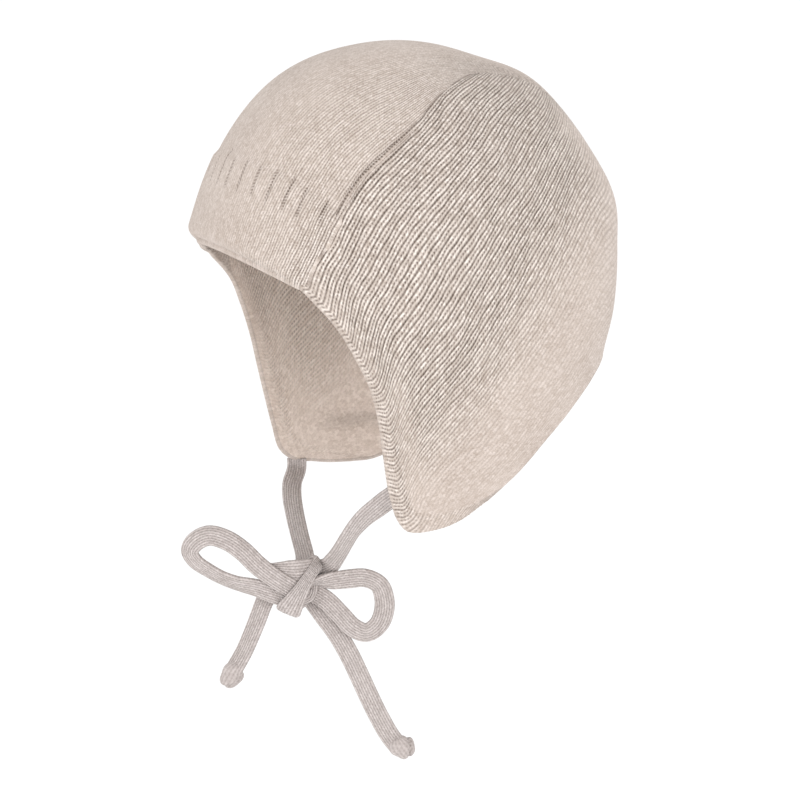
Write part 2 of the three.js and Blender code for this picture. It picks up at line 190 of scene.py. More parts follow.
# Routes of the ties from the bow knot's centre: right and up across the bow, forward out of it,
# and the turn of the flat face about the route in degrees
RIGHT, UP, FORWARD, TURN, WIDTH, THICKNESS = range(6)
STRAP_ROUTES = {
    "left": [
        (34, 46.9, 39.1, 10),
        (29.8, 42.6, 35.2, 0),
        (24.6, 37, 30.4, -15),
        (19.4, 28.5, 22, -32),
        (15.6, 20, 13, -28),
        (12.7, 13.6, 5, -15),
        (9.8, 9, 0.2, 0),
        (3, 5, -1, 0),
    ],
    "right": [
        (-6.4, 28.4, -55.4, 0),
        (-6.2, 25.3, -47.1, 0),
        (-4.6, 20.8, -35.6, 5),
        (-2.2, 15.6, -23, 10),
        (0.2, 10.4, -11.4, 10),
        (1, 6, -5, 5),
    ],
}
LOOP_ROUTES = {
    "left": [
        (1, -1.5, 3.0, 0),
        (-6, 2.2, 4.2, 0),
        (-12.5, 6.4, 3.6, 0),
        (-17.8, 10.4, 2.8, 5),
        (-23.6, 16.0, 2.0, 8),
        (-29.8, 20.2, 1.6, 10),
        (-36.8, 21.9, 1.0, 15),
        (-42.4, 19.0, 0.4, 22),
        (-44.5, 15, -0.4, 28),
        (-42.4, 10.8, -1.0, 30),
        (-37.6, 7.2, -1.3, 34),
        (-32.2, 4.1, -1.3, 36),
        (-25.9, 1.8, -0.9, 32),
        (-18.5, 0.3, 0.2, 15),
        (-10.6, -2.2, 1.2, 0),
        (-2, -4.4, 1.6, 0),
    ],
    "right": [
        (1, 3, 1.6, 70),
        (6, 3.4, 1.8, 48),
        (12, 3.8, 2, 12),
        (18.2, 4.5, 2, 4),
        (24.6, 4.8, 1.8, 8),
        (30, 2.0, 1.4, 12),
        (32, -3.2, 1.2, 8),
        (32, -9, 1.1, 0),
        (29.8, -14.6, 1, -5),
        (25.2, -17.9, 1, -5),
        (20, -16, 1.2, 0),
        (14.6, -10.4, 0.9, 0),
        (9, -4.8, 0.2, 0),
        (3, -1.4, -0.8, 0),
    ],
}
TAIL_ROUTES = {
    "left": [
        (-3, 0, -4.8, 0),
        (-9, 0.4, -5.2, 0),
        (-13.4, -2.6, -5.2, 15),
        (-15.8, -7.4, -4.4, 30),
        (-18.2, -13.6, -3, 32),
        (-21, -20.4, -1.6, 36),
        (-23.8, -26.6, -0.6, 38),
        (-26.6, -31.6, 0, 38),
        (-29, -35.6, 0, 38),
    ],
    "right": [
        (0.8, -2, -4, 0),
        (4, -6.6, -4, 0),
        (8.3, -12.8, -3.6, 0),
        (13.5, -20, -2.8, 0),
        (18.1, -28, -1.8, 0),
        (22, -36.2, -0.8, 0),
        (25.9, -45, -0.4, 0),
        (30.2, -54, 0, 0),
        (34.4, -61.6, 0, 0),
        (38.6, -67, 0, 0),
    ],
}
OTHER = {"left": "right", "right": "left"}

# Bands of the bow knot: the strands that fan out on its left, and the wrap over its front, with
# the width and the thickness after the turn
FAN_ROWS = [
    (-14, 9.2, 0.4, 0, 2.5, 1.8),
    (-10.5, 8.4, 1.4, 0, 5.5, 2.4),
    (-6, 7.9, 2.4, 0, 8.6, 3.0),
    (-1, 7.9, 2.8, 0, 10.0, 3.2),
    (3.4, 8.8, 2.2, 0, 8.4, 3.0),
    (6.6, 9.8, 0.6, 0, 5.0, 2.4),
]
WRAP_ROWS = [
    (1, 6, -4.6, 0, 6.4, 2.6),
    (4.4, 10.2, -3.0, 0, 5.6, 2.6),
    (5.9, 11.2, 0.6, 0, 4.8, 2.4),
    (5.2, 10, 4.2, 5, 4.6, 2.2),
    (3.2, 7.4, 6.2, 12, 4.6, 2.2),
    (0.2, 2.6, 7.4, 18, 5.8, 2.4),
    (-2.6, -2.2, 7.6, 16, 8.0, 2.4),
    (-4.9, -6.2, 6.4, 8, 9.8, 2.4),
    (-6.0, -8.4, 3.6, 0, 9.6, 2.4),
    (-5.4, -7.8, 0.4, 0, 8.0, 2.4),
    (-3.6, -5, -3.0, 0, 7.0, 2.4),
    (-1, -1, -4.6, 0, 6.4, 2.4),
]


def unit(vectors):
    """Vectors along the last axis, at length one."""
    length = np.linalg.norm(vectors, axis=-1, keepdims=True)
    return vectors / np.maximum(length, 1e-9)


def mix(a, b, t):
    return a + (b - a) * t


def smoothstep(low, high, value):
    t = np.clip((value - low) / (high - low), 0, 1)
    return t * t * (3 - 2 * t)


def bell(value, middle, width):
    """Bell curve: 1 at the middle, and 0.37 a width away from it."""
    return np.exp(-(((value - middle) / width) ** 2))


def column(rows, item):
    """One value of each row of a table, by its name or its place."""
    return np.array([row[item] for row in rows], float)


def place(points):
    """Millimetres from the ear axis to metres in the part's frame."""
    return (np.asarray(points, float) + EAR_AXIS) * MM


# Camera

def view_axes(azimuth, elevation):
    """Right, up and back of a camera that looks at the object from an azimuth and elevation."""
    a = math.radians(azimuth)
    e = math.radians(elevation)
    back = np.array([math.sin(a) * math.cos(e), -math.cos(a) * math.cos(e), math.sin(e)])
    right = np.array([math.cos(a), math.sin(a), 0.0])
    return right, np.cross(back, right), back


def make_camera():
    _, _, back = view_axes(VIEW_AZIMUTH, VIEW_ELEVATION)
    data = bpy.data.cameras.new("camera")
    data.sensor_width = SENSOR
    data.lens = PIXELS_PER_MM * VIEW_DISTANCE * SENSOR / FRAME_PIXELS
    data.shift_x = (FRAME_PIXELS / 2 - AIM_PIXEL[0]) / FRAME_PIXELS
    data.shift_y = (AIM_PIXEL[1] - FRAME_PIXELS / 2) / FRAME_PIXELS
    data.clip_end = CLIP_END
    camera = bpy.data.objects.new("camera", data)
    bpy.context.scene.collection.objects.link(camera)
    camera.location = place(back * VIEW_DISTANCE)
    camera.rotation_euler = Vector(back).to_track_quat("Z", "Y").to_euler()
    bpy.context.scene.camera = camera


make_camera()


# Cap surface, worked out as for the solids

PATH_STEPS = 40  # points from each point of an edge's table to the next


def hermite(t):
    """Weights of the start, the slope there, the end and the slope there, at a share of a span."""
    start = 2 * t**3 - 3 * t**2 + 1
    end = 3 * t**2 - 2 * t**3
    return start, t**3 - 2 * t**2 + t, end, t**3 - t**2


def smooth_value(rows, angle, period=None, where="angle", what="share"):
    """Smooth value of a table's share at an angle. A period joins the last row to the first."""
    x = column(rows, where)
    y = column(rows, what)
    angle = np.asarray(angle, float)
    if period:
        x = np.concatenate([x - period, x, x + period])
        y = np.tile(y, 3)
    before = np.concatenate([[0], np.arange(len(x) - 1)])
    after = np.concatenate([np.arange(1, len(x)), [len(x) - 1]])
    slope = (y[after] - y[before]) / (x[after] - x[before])
    i = np.clip(np.searchsorted(x, angle, side="right") - 1, 0, len(x) - 2)
    span = x[i + 1] - x[i]
    start, leave, end, arrive = hermite(np.clip((angle - x[i]) / span, 0, 1))
    return start * y[i] + end * y[i + 1] + (leave * slope[i] + arrive * slope[i + 1]) * span


def profile_radius(angle):
    along = np.cos(np.radians(angle)) / HALF_LENGTH
    rise = np.sin(np.radians(angle)) / CROWN_RISE
    return smooth_value(PROFILE, angle, 360) / np.hypot(along, rise)


def band_half_width(angle):
    return mix(BAND_BACK, BAND_FRONT, smooth_value(BAND_ROWS, angle))


def surface_point(angle, x):
    """Point of the outer surface at an angle of the profile and a distance from the middle."""
    share = (1 - (np.abs(x) / HALF_WIDTH) ** BOXINESS) ** (1 / BOXINESS)
    radius = profile_radius(angle) * share
    turn = np.radians(angle)
    return np.stack([x + 0 * radius, -radius * np.cos(turn), radius * np.sin(turn)], -1)


def profile_angle(y, z):
    return np.degrees(np.arctan2(z, -y))


def side_width(y, z):
    """Half width of the outer surface at a point of the side view."""
    share = np.hypot(y, z) / profile_radius(profile_angle(y, z))
    return HALF_WIDTH * np.maximum(1 - share**BOXINESS, 0) ** (1 / BOXINESS)


def inward(points, depth):
    """Points moved in from the outer surface by a depth."""
    radius = profile_radius(profile_angle(points[..., 1], points[..., 2]))
    radial = (radius - depth) / radius
    across = (HALF_WIDTH - depth) / HALF_WIDTH
    return np.stack([points[..., 0] * across, points[..., 1] * radial, points[..., 2] * radial], -1)


def smooth_path(points, steps):
    """Centripetal curve through points, with so many steps from each point to the next."""
    points = np.asarray(points, float)
    first = 2 * points[0] - points[1]
    last = 2 * points[-1] - points[-2]
    p = np.concatenate([[first], points, [last]])
    start, leave, end, arrive = hermite(np.linspace(0, 1, steps, endpoint=False)[:, None])
    out = []
    for i in range(1, len(p) - 2):
        a, b, c = [max(np.linalg.norm(p[k + 1] - p[k]) ** 0.5, 1e-6) for k in (i - 1, i, i + 1)]
        here = ((p[i] - p[i - 1]) / a - (p[i + 1] - p[i - 1]) / (a + b) + (p[i + 1] - p[i]) / b) * b
        there = ((p[i + 1] - p[i]) / b - (p[i + 2] - p[i]) / (b + c) + (p[i + 2] - p[i + 1]) / c) * b
        out.append(start * p[i] + end * p[i + 1] + leave * here + arrive * there)
    return np.concatenate(out + [points[-1:]])


def lengths_along(path):
    """Length from the start of a path to each of its points."""
    return np.concatenate([[0], np.cumsum(np.linalg.norm(np.diff(path, axis=0), axis=1))])


def at_lengths(path, lengths):
    """Points of a path at given lengths from its start."""
    along = lengths_along(path)
    return np.stack([np.interp(lengths, along, path[:, k]) for k in range(path.shape[1])], -1)


def seam_point(angle):
    """Side view of the seam between the band and a side panel."""
    return surface_point(angle, band_half_width(angle))[..., 1:]


BROW_CORNER = seam_point(np.array(BROW_ANGLE))
NAPE_CORNER = seam_point(np.array(NAPE_ANGLE))
FLAP_TIP = np.array([BROW_CORNER[0] + FLAP_SETBACK, -FLAP_DROP])


def between(start, end, back, rise):
    return np.array([mix(start[0], end[0], back), mix(start[1], end[1], rise)])


def front_edge(side):
    rows = FRONT_EDGES[side]
    return [BROW_CORNER] + [between(BROW_CORNER, FLAP_TIP, row["back"], row["down"]) for row in rows]


def hem_edge(side):
    return [between(FLAP_TIP, NAPE_CORNER, row["back"], row["up"]) for row in HEMS[side]] + [NAPE_CORNER]


def panel_patch(side, u, v):
    """Side view points of a side panel: u from the front to the back, v from the seam to the hem."""
    hem = hem_edge(side)
    front_path = smooth_path(front_edge(side) + hem[: HEM_SPLIT + 1], PATH_STEPS)
    hem_path = smooth_path(hem[HEM_SPLIT:], PATH_STEPS)
    u = np.asarray(u, float)[..., None]
    v = np.asarray(v, float)[..., None]
    top = seam_point(mix(BROW_ANGLE, SEAM_SPLIT, u[..., 0]))
    back = seam_point(mix(SEAM_SPLIT, NAPE_ANGLE, v[..., 0]))
    front = at_lengths(front_path, v[..., 0] * lengths_along(front_path)[-1])
    lower = at_lengths(hem_path, u[..., 0] * lengths_along(hem_path)[-1])
    upper_corners = mix(BROW_CORNER, seam_point(np.array(SEAM_SPLIT)), u)
    lower_corners = mix(hem[HEM_SPLIT], NAPE_CORNER, u)
    return mix(top, lower, v) + mix(front, back, u) - mix(upper_corners, lower_corners, v)


# Meshes

def grid_normals(points):
    along = np.gradient(points, axis=0)
    across = np.gradient(points, axis=1)
    return unit(np.cross(along, across))


def rim_order(rows, columns):
    """Grid indices round the border of a grid, in one loop, each with its inner neighbour."""
    top = [((0, j), (1, j)) for j in range(columns)]
    right = [((i, columns - 1), (i, columns - 2)) for i in range(1, rows)]
    bottom = [((rows - 1, j), (rows - 2, j)) for j in range(columns - 2, -1, -1)]
    left = [((i, 0), (i, 1)) for i in range(rows - 2, 0, -1)]
    corners = {
        (0, 0): (1, 1),
        (0, columns - 1): (1, columns - 2),
        (rows - 1, columns - 1): (rows - 2, columns - 2),
        (rows - 1, 0): (rows - 2, 1),
    }
    return [(own, corners.get(own, inner)) for own, inner in top + right + bottom + left]


def grid_faces(rows, columns, start, turned):
    i, j = np.meshgrid(np.arange(rows - 1), np.arange(columns - 1), indexing="ij")
    a = start + i * columns + j
    quads = np.stack([a, a + columns, a + columns + 1, a + 1], -1).reshape(-1, 4)
    return quads[:, ::-1] if turned else quads


def mesh_object(name, points, faces, materials, face_materials=None, values=None, uv=None):
    """A smooth mesh object in the part's frame, with float values and a knit map on its points."""
    mesh = bpy.data.meshes.new(name)
    mesh.from_pydata(place(points).tolist(), [], [list(map(int, f)) for f in faces])
    mesh.polygons.foreach_set("use_smooth", np.ones(len(mesh.polygons), bool))
    for material in materials:
        mesh.materials.append(material)
    if face_materials is not None:
        mesh.polygons.foreach_set("material_index", np.asarray(face_materials, np.int32))
    for key, value in (values or {}).items():
        attribute = mesh.attributes.new(key, "FLOAT", "POINT")
        attribute.data.foreach_set("value", np.asarray(value, np.float32))
    if uv is not None:
        layer = mesh.uv_layers.new(name="knit")
        corner = np.zeros(len(mesh.loops), np.int32)
        mesh.loops.foreach_get("vertex_index", corner)
        layer.data.foreach_set("uv", np.asarray(uv, np.float32)[corner].ravel())
    mesh.update()
    thing = bpy.data.objects.new(name, mesh)
    bpy.context.scene.collection.objects.link(thing)
    return thing


RIM_STEPS = 6
RIM_RELIEF = 0.5  # how deep the knit shows on a rim, as a share of beside it
RIM_BULGE = 0.75  # how far a rim stands out, as a share of half the wall

# Soft swells and hollows of the cap: the middle from the ear axis, the reach, and the height
SWELLS = [
    dict(at=(-22, -63, 97), reach=26, rise=-1.7),
    dict(at=(10, 43, 108), reach=18, rise=1.8),
    dict(at=(50, 52, -8), reach=32, rise=1.9),
    dict(at=(62, 18, -34), reach=16, rise=1.1),
]


def swelled(points):
    """Points with the swells added."""
    moved = points
    for row in SWELLS:
        middle = np.array(row["at"], float)
        outward = unit(middle * [0, 1, 1])
        away = np.linalg.norm(points - middle, axis=-1, keepdims=True)
        moved = moved + outward * row["rise"] * bell(away, 0, row["reach"])
    return moved


def shell_object(name, outer, inner, uv, relief, shade, shade_inside, turned, lip):
    """A closed knitted wall between an outer and an inner grid, with a rounded rim.

    Where lip is true, the inner grid looks like the outside.
    """
    outer = swelled(outer)
    inner = swelled(inner)
    rows, columns = outer.shape[:2]
    count = rows * columns
    order = rim_order(rows, columns)
    own = np.array([o[0] * columns + o[1] for o, _ in order])
    near = np.array([n[0] * columns + n[1] for _, n in order])
    flat_outer = outer.reshape(-1, 3)
    flat_inner = inner.reshape(-1, 3)
    middle = (flat_outer[own] + flat_inner[own]) / 2
    half = (flat_outer[own] - flat_inner[own]) / 2
    along = unit(np.roll(middle, -1, 0) - np.roll(middle, 1, 0))
    away = unit(np.cross(along, half))
    if np.sum(away * (middle - (flat_outer[near] + flat_inner[near]) / 2)) < 0:
        away = -away
    thick = np.linalg.norm(half, axis=1, keepdims=True)
    rings = []
    for k in range(1, RIM_STEPS):
        turn = math.pi * k / RIM_STEPS
        rings.append(middle + half * math.cos(turn) + away * thick * (RIM_BULGE * math.sin(turn)))
    points = np.concatenate([flat_outer, flat_inner] + rings)
    faces = [grid_faces(rows, columns, 0, turned), grid_faces(rows, columns, count, not turned)]
    ring_loops = [2 * count + k * len(own) + np.arange(len(own)) for k in range(len(rings))]
    loops = [own] + ring_loops + [count + own]
    for first, second in zip(loops[:-1], loops[1:]):
        quads = np.stack([first, np.roll(first, -1), np.roll(second, -1), second], -1)
        faces.append(quads[:, ::-1] if turned else quads)
    sizes = [len(f) for f in faces]
    inside = np.zeros(sum(sizes), int)
    inside[sizes[0] : sizes[0] + sizes[1]] = ~lip[:-1, :-1].ravel()
    repeats = len(rings)
    flat_uv = uv.reshape(-1, 2)
    uv = np.concatenate([flat_uv, flat_uv] + [flat_uv[own]] * repeats)
    relief = relief.ravel()
    shade = shade.ravel()
    values = {
        "relief": np.concatenate([relief, relief] + [RIM_RELIEF * relief[own]] * repeats),
        "shade": np.concatenate([shade, shade_inside.ravel()] + [shade[own]] * repeats),
    }
    return mesh_object(name, points, np.concatenate(faces), [cap_outside, cap_inside_brightened], inside, values, uv)


# Waves of the columns' wander: size as a share of a column, turn by wale and by course, and start
WOBBLES = [
    (0.06, 0.83, 0.19, 0),
    (0.05, 0.31, -0.27, 1),
    (0.03, 1.9, 0.71, 2),
    (0.02, 2.7, -1.13, 0),
]


def wobble(wales, courses):
    """Small wander of the columns of stitches, as a share of a column."""
    waves = [size * np.sin(a * wales + b * courses + start) for size, a, b, start in WOBBLES]
    return sum(waves)


def knit_relief(wales):
    """Height of the knit across its columns: 1 on the legs of the stitches, 0 in the deepest groove."""
    part = np.abs(wales - np.floor(wales) - 0.5) * 2
    legs = np.sin(np.pi * part)
    floor = np.where(part < 0.5, 1 - SPLIT_DEPTH / GROOVE_DEPTH, 0)
    return floor + (1 - floor) * legs


# Materials

class Nodes:
    """A node tree that is written as sums: each method adds one node and gives its output."""

    def __init__(self, name):
        self.material = bpy.data.materials.new(name)
        self.material.use_nodes = True
        self.tree = self.material.node_tree
        self.shader = self.tree.nodes["Principled BSDF"]

    def add(self, kind, **settings):
        node = self.tree.nodes.new(kind)
        for key, value in settings.items():
            setattr(node, key, value)
        return node

    def link(self, value, socket):
        if isinstance(value, bpy.types.NodeSocket):
            self.tree.links.new(value, socket)
        else:
            socket.default_value = value

    def math(self, operation, *values, clamp=False):
        node = self.add("ShaderNodeMath", operation=operation, use_clamp=clamp)
        for k, value in enumerate(values):
            self.link(value, node.inputs[k])
        return node.outputs[0]

    def times(self, first, *others):
        for other in others:
            first = self.math("MULTIPLY", first, other)
        return first

    def plus(self, a, b, clamp=False):
        return self.math("ADD", a, b, clamp=clamp)

    def less(self, value, share):
        """One less a share of a value."""
        return self.math("SUBTRACT", 1.0, self.times(value, share))

    def waves(self, value, count=1):
        """So many waves between 1 and 0 for each step of a value by one."""
        return self.times(self.plus(self.math("COSINE", self.times(value, 2 * math.pi * count)), 1.0), 0.5)

    def blend(self, factor, a, b):
        node = self.add("ShaderNodeMix", data_type="RGBA")
        self.link(factor, node.inputs["Factor"])
        self.link(a, node.inputs[6])
        self.link(b, node.inputs[7])
        return node.outputs[2]

    def noise(self, size, detail=2.0):
        """Soft noise with spots of a size in millimetres."""
        node = self.add("ShaderNodeTexNoise")
        node.inputs["Scale"].default_value = 1 / (size * MM)
        node.inputs["Detail"].default_value = detail
        self.link(self.add("ShaderNodeTexCoord").outputs["Object"], node.inputs["Vector"])
        return node.outputs["Fac"]

    def spread(self, value, low, high):
        """Value stretched so that low becomes 0 and high becomes 1, and cut off there."""
        node = self.add("ShaderNodeMapRange")
        self.link(value, node.inputs["Value"])
        node.inputs["From Min"].default_value = low
        node.inputs["From Max"].default_value = high
        return node.outputs["Result"]


def colour(red, green, blue):
    """A colour from the 0 to 255 values of a screen."""
    def linear(value):
        share = value / 255
        return share / 12.92 if share <= 0.04045 else ((share + 0.055) / 1.055) ** 2.4
    return (linear(red), linear(green), linear(blue), 1.0)


# Sizes of the wool's unevenness in millimetres, and the part of each noise that is used
SPECK_SIZE = 1.1
SPECK_RANGE = (0.42, 0.72)
SPECK_DETAIL = 3.0
FUZZ_SIZE = 0.35
FUZZ_RANGE = (0.45, 0.75)
FUZZ_SHARE = 0.35
CLOUD_SIZE = 22
CLOUD_RANGE = (0.35, 0.7)
CLOUD_SHARE = 0.12
UNEVEN_SIZE = 4
UNEVEN_LEAST = 0.45  # least strength of the painted shade in the gaps, before the noise is added

# Stitches, as shares of half a column from its middle to its side
STITCH_SLANT = 0.6  # how far a leg rises on its way to the side, in courses
SPLIT_RANGE = (0.42, 0.05)  # where painted shade darkens the split between the two legs of a stitch
GROOVE_RANGE = (0.56, 0.93)  # where painted shade darkens the groove between two columns
SPLIT_BEADS = 0.8  # how far the stitches close the split, breaking up its painted shade
GAP_BEADS = 0.8  # and the painted shade of the gaps outside, and inside
PURL_GAP_BEADS = 0.1
LEG_HIGHLIGHT = 0.95  # painted highlight: how far the middle of a leg is lightened towards the pale colour
LEG_RISE = (0.55, 0.45)  # height of a leg between two stitches, and what a stitch adds
FINE_RISE = 0.5  # height of the fuzz, and of the specks
PAINTED_SHADE_COLOUR = colour(88, 74, 64)  # painted shade inside the gaps between stitches
ROUGHNESS = 0.95
SPECULAR = 0.2
SHEEN = 0.2
SHEEN_ROUGHNESS = 0.6
SHEEN_TINT = (1.0, 0.97, 0.94, 1.0)


def knit_material(name, base, deep, pale_and_highlight, groove_shade, dot_shade, bump_depth, speck, purl=False, holes=0.3):
    """Knitted wool: V-shaped stitches from the knit map, with painted shade in their splits and grooves and
    a painted highlight on their legs, melange yarn and a soft fuzz.
    """
    n = Nodes(name)
    coords = n.add("ShaderNodeUVMap", uv_map="knit")
    split = n.add("ShaderNodeSeparateXYZ")
    n.link(coords.outputs[0], split.inputs[0])
    wale = split.outputs["X"]
    course = split.outputs["Y"]
    relief = n.add("ShaderNodeAttribute", attribute_name="relief").outputs["Fac"]
    # painted shade in crevices such as seams, rib gaps and creases, read from the shade attribute
    crevice_shade = n.add("ShaderNodeAttribute", attribute_name="shade").outputs["Fac"]
    part = n.times(n.math("ABSOLUTE", n.math("SUBTRACT", n.math("FRACT", wale), 0.5)), 2.0)
    slanted = n.plus(course, n.times(part, STITCH_SLANT))
    bead = n.waves(slanted)
    legs = n.waves(wale, 2) if purl else n.math("SINE", n.times(part, math.pi))
    # Painted shade: the split between two legs is a row of dark holes, the groove between two columns a
    # nearly whole dark line
    split_shade = n.times(n.spread(part, *SPLIT_RANGE), n.less(bead, SPLIT_BEADS), dot_shade)
    groove_line_shade = n.times(n.spread(part, *GROOVE_RANGE), n.less(bead, holes), groove_shade)
    uneven = n.plus(n.noise(UNEVEN_SIZE), UNEVEN_LEAST)
    painted_shade = n.times(n.plus(split_shade, groove_line_shade), relief, uneven)
    gap_shade = n.times(crevice_shade, n.less(bead, PURL_GAP_BEADS if purl else GAP_BEADS))
    painted_shade = n.plus(painted_shade, gap_shade, clamp=True)
    speckle = n.noise(SPECK_SIZE, SPECK_DETAIL)
    fuzz = n.noise(FUZZ_SIZE)
    cloud = n.noise(CLOUD_SIZE)
    cell = n.add("ShaderNodeCombineXYZ")
    n.link(n.math("FLOOR", n.times(wale, 2.0)), cell.inputs[0])
    n.link(n.math("FLOOR", slanted), cell.inputs[1])
    stitch = n.add("ShaderNodeTexWhiteNoise", noise_dimensions="2D")
    n.link(cell.outputs[0], stitch.inputs["Vector"])
    # painted highlight on the legs where the relief is high; the pale colour also serves the fuzz and the
    # cloud
    yarn = n.blend(n.math("MULTIPLY", n.times(legs, relief), LEG_HIGHLIGHT, clamp=True), base, pale_and_highlight)
    yarn = n.blend(n.times(stitch.outputs["Value"], speck), yarn, deep)
    yarn = n.blend(n.times(n.spread(speckle, *SPECK_RANGE), speck), yarn, deep)
    yarn = n.blend(n.times(n.spread(fuzz, *FUZZ_RANGE), FUZZ_SHARE), yarn, pale_and_highlight)
    yarn = n.blend(n.times(n.spread(cloud, *CLOUD_RANGE), CLOUD_SHARE), yarn, pale_and_highlight)
    # painted shade darkens the yarn towards the shade colour
    n.link(n.blend(painted_shade, yarn, PAINTED_SHADE_COLOUR), n.shader.inputs["Base Color"])
    height = n.times(legs, n.plus(n.times(bead, LEG_RISE[1]), LEG_RISE[0]), relief)
    height = n.plus(height, n.times(fuzz, FINE_RISE))
    height = n.plus(height, n.times(speckle, FINE_RISE))
    bump = n.add("ShaderNodeBump")
    bump.inputs["Distance"].default_value = bump_depth * MM
    bump.inputs["Strength"].default_value = 1.0
    n.link(height, bump.inputs["Height"])
    n.link(bump.outputs["Normal"], n.shader.inputs["Normal"])
    n.shader.inputs["Roughness"].default_value = ROUGHNESS
    n.shader.inputs["Specular IOR Level"].default_value = SPECULAR
    n.shader.inputs["Sheen Weight"].default_value = SHEEN
    n.shader.inputs["Sheen Roughness"].default_value = SHEEN_ROUGHNESS
    n.shader.inputs["Sheen Tint"].default_value = SHEEN_TINT
    return n.material


cap_outside = knit_material(
    "cap_knit",
    base=colour(191, 177, 169),
    deep=colour(166, 150, 138),
    pale_and_highlight=colour(246, 236, 228),
    groove_shade=0.95,
    dot_shade=0.9,
    bump_depth=0.4,
    speck=0.7,
)
# The purl side of the same yarn as the outside, given paler colours: painted light inside the cap.
cap_inside_brightened = knit_material(
    "cap_knit_inside_brightened",
    base=colour(229, 214, 203),
    deep=colour(193, 174, 161),
    pale_and_highlight=colour(241, 229, 219),
    groove_shade=0.4,
    dot_shade=0.6,
    bump_depth=0.4,
    purl=True,
    speck=0.7,
)
tie_outside = knit_material(
    "tie_knit",
    base=colour(184, 174, 171),
    deep=colour(160, 150, 146),
    pale_and_highlight=colour(212, 203, 200),
    groove_shade=0.35,
    dot_shade=0.4,
    bump_depth=0.35,
    speck=0.6,
    holes=0.9,
)


# Side panels

WELT_RISE = 0.7  # of the seam allowance that lifts a panel beside the seam
WELT_CLOSED = 0.4  # share of it where the seam is closed
WELT_PLACE = 1.7

# Soft shadow of a fold inside the far flap, in millimetres from the ear axis
FOLD_HEIGHT = -41.5
FOLD_WIDTH = 3.4
FOLD_STARTS = (-18.0, 0.0)
FOLD_SHADE = 0.26
DEPTH_SHADE = 0.15  # inside the crown, where less light comes in
DEPTH_HEIGHTS = (-50, 30)
CORNER_LIP = 11.0  # the outside shows so far inside the brow corner
CORNER_LIP_ENDS = (0.03, 0.13)  # and so far down, as a share of the columns
SEAM_OPENS = (52, 57)  # angles between which the seam shows as an open groove
SEAM_CLOSES = (73, 79)
SEAM_RELIEF = 0.1  # relief of the smooth strip beside the open seam
SEAM_STRIP = (1.8, 2.8)  # where that strip ends
SEAM_SHADE_LINES = [(0, 1.0), (2.6, 0.6)]  # painted shade lines beside the open seam: place and strength
SEAM_SHADE_WIDTH = 0.4

# Where a panel's relief is fainter: what is left of it, and where it fades in or ends. Back is a
# share of a column's length, down of the columns from the seam, and the rest are millimetres
# from the front edge.
PANEL_FADES = [
    dict(left=0.35, back=(0.8, 0.96), down=(0.25, 0.5)),
    dict(left=0.8, back=(0.85, 0.97)),
    dict(left=0.42, down=(0.5, 0.74), behind=(6, 9)),
    dict(left=0.6, down=(0.3, 0.45), behind=(6, 9), before=(14, 24)),
    dict(left=0.45, down=(0.66, 0.8)),
    dict(left=0.75, before=(5, 8)),
]
RIGHT_FADES = [dict(left=0.25, before=(1, 8))]  # on the right panel alone


def seam_gap(angle):
    """How far the seam is open at an angle, from 0 to 1."""
    return smoothstep(*SEAM_OPENS, angle) * (1 - smoothstep(*SEAM_CLOSES, angle))


PANEL_SAMPLES = 6  # points across one column of stitches
PANEL_ROWS = 168
PATCH_COLUMNS = 260  # points along a panel, before they are set at even lengths
EDGE_ZONE = 20.0  # length of the columns that is finely divided along the front edge
EDGE_ROWS = 40

# Shift of the columns along the front edge, in columns, near the brow and near the flap
EDGE_SHIFTS = {
    "brow": [
        dict(back=0, shift=0.5),
        dict(back=0.8, shift=0.25),
        dict(back=1.6, shift=0.0),
        dict(back=6, shift=0.0),
        dict(back=32, shift=0.0),
    ],
    "flap": [
        dict(back=0, shift=1.4),
        dict(back=2.2, shift=0.6),
        dict(back=4.6, shift=-0.1),
        dict(back=8.5, shift=-0.25),
        dict(back=13, shift=0.0),
        dict(back=32, shift=0.0),
    ],
}
FLAP_SHIFT_STARTS = (0.2, 0.42)  # from the brow's shift to the flap's, as a share of the columns
SHIFT_FADES = (0.66, 0.8)  # where the shift ends

# How the columns swing off even spacing from the front to the back of a panel: first moves the
# middle ones towards the hem, second and third move their halves and thirds apart
SWINGS = [
    dict(along=0, first=0.02, second=0.0, third=0.0),
    dict(along=0.15, first=-0.035, second=0.0, third=-0.01),
    dict(along=0.35, first=-0.04, second=0.0, third=-0.01),
    dict(along=0.6, first=-0.085, second=0.02, third=0.0),
    dict(along=0.8, first=-0.125, second=0.045, third=-0.005),
    dict(along=1, first=-0.135, second=0.045, third=0.015),
]


def panel_grid(side):
    """Outer grid of a side panel on its columns of stitches, and the length along each column."""
    wales = np.linspace(0, 1, PANEL_WALES * PANEL_SAMPLES + 1)
    u = np.linspace(0, 1, PATCH_COLUMNS)
    picked = wales + 0 * u[:, None]
    for k, name in enumerate(("first", "second", "third")):
        swing = smooth_value(SWINGS, u, None, "along", name)[:, None]
        picked = picked + swing * np.sin((k + 1) * math.pi * wales)
    flat = panel_patch(side, np.repeat(u[:, None], len(wales), 1), picked)
    body = np.concatenate([side_width(flat[..., 0], flat[..., 1])[..., None], flat], -1)
    edge_steps = np.linspace(0, EDGE_ZONE, EDGE_ROWS)
    rest = np.linspace(0, 1, PANEL_ROWS - EDGE_ROWS + 1)[1:]
    points = np.zeros((len(wales), PANEL_ROWS, 3))
    lengths = np.zeros((len(wales), PANEL_ROWS))
    for k in range(len(wales)):
        total = lengths_along(body[:, k])[-1]
        lengths[k] = np.concatenate([edge_steps, EDGE_ZONE + (total - EDGE_ZONE) * rest])
        points[k] = at_lengths(body[:, k], lengths[k])
    return wales, points, lengths


def edge_shift(name, lengths):
    return smooth_value(EDGE_SHIFTS[name], lengths, None, "back", "shift")


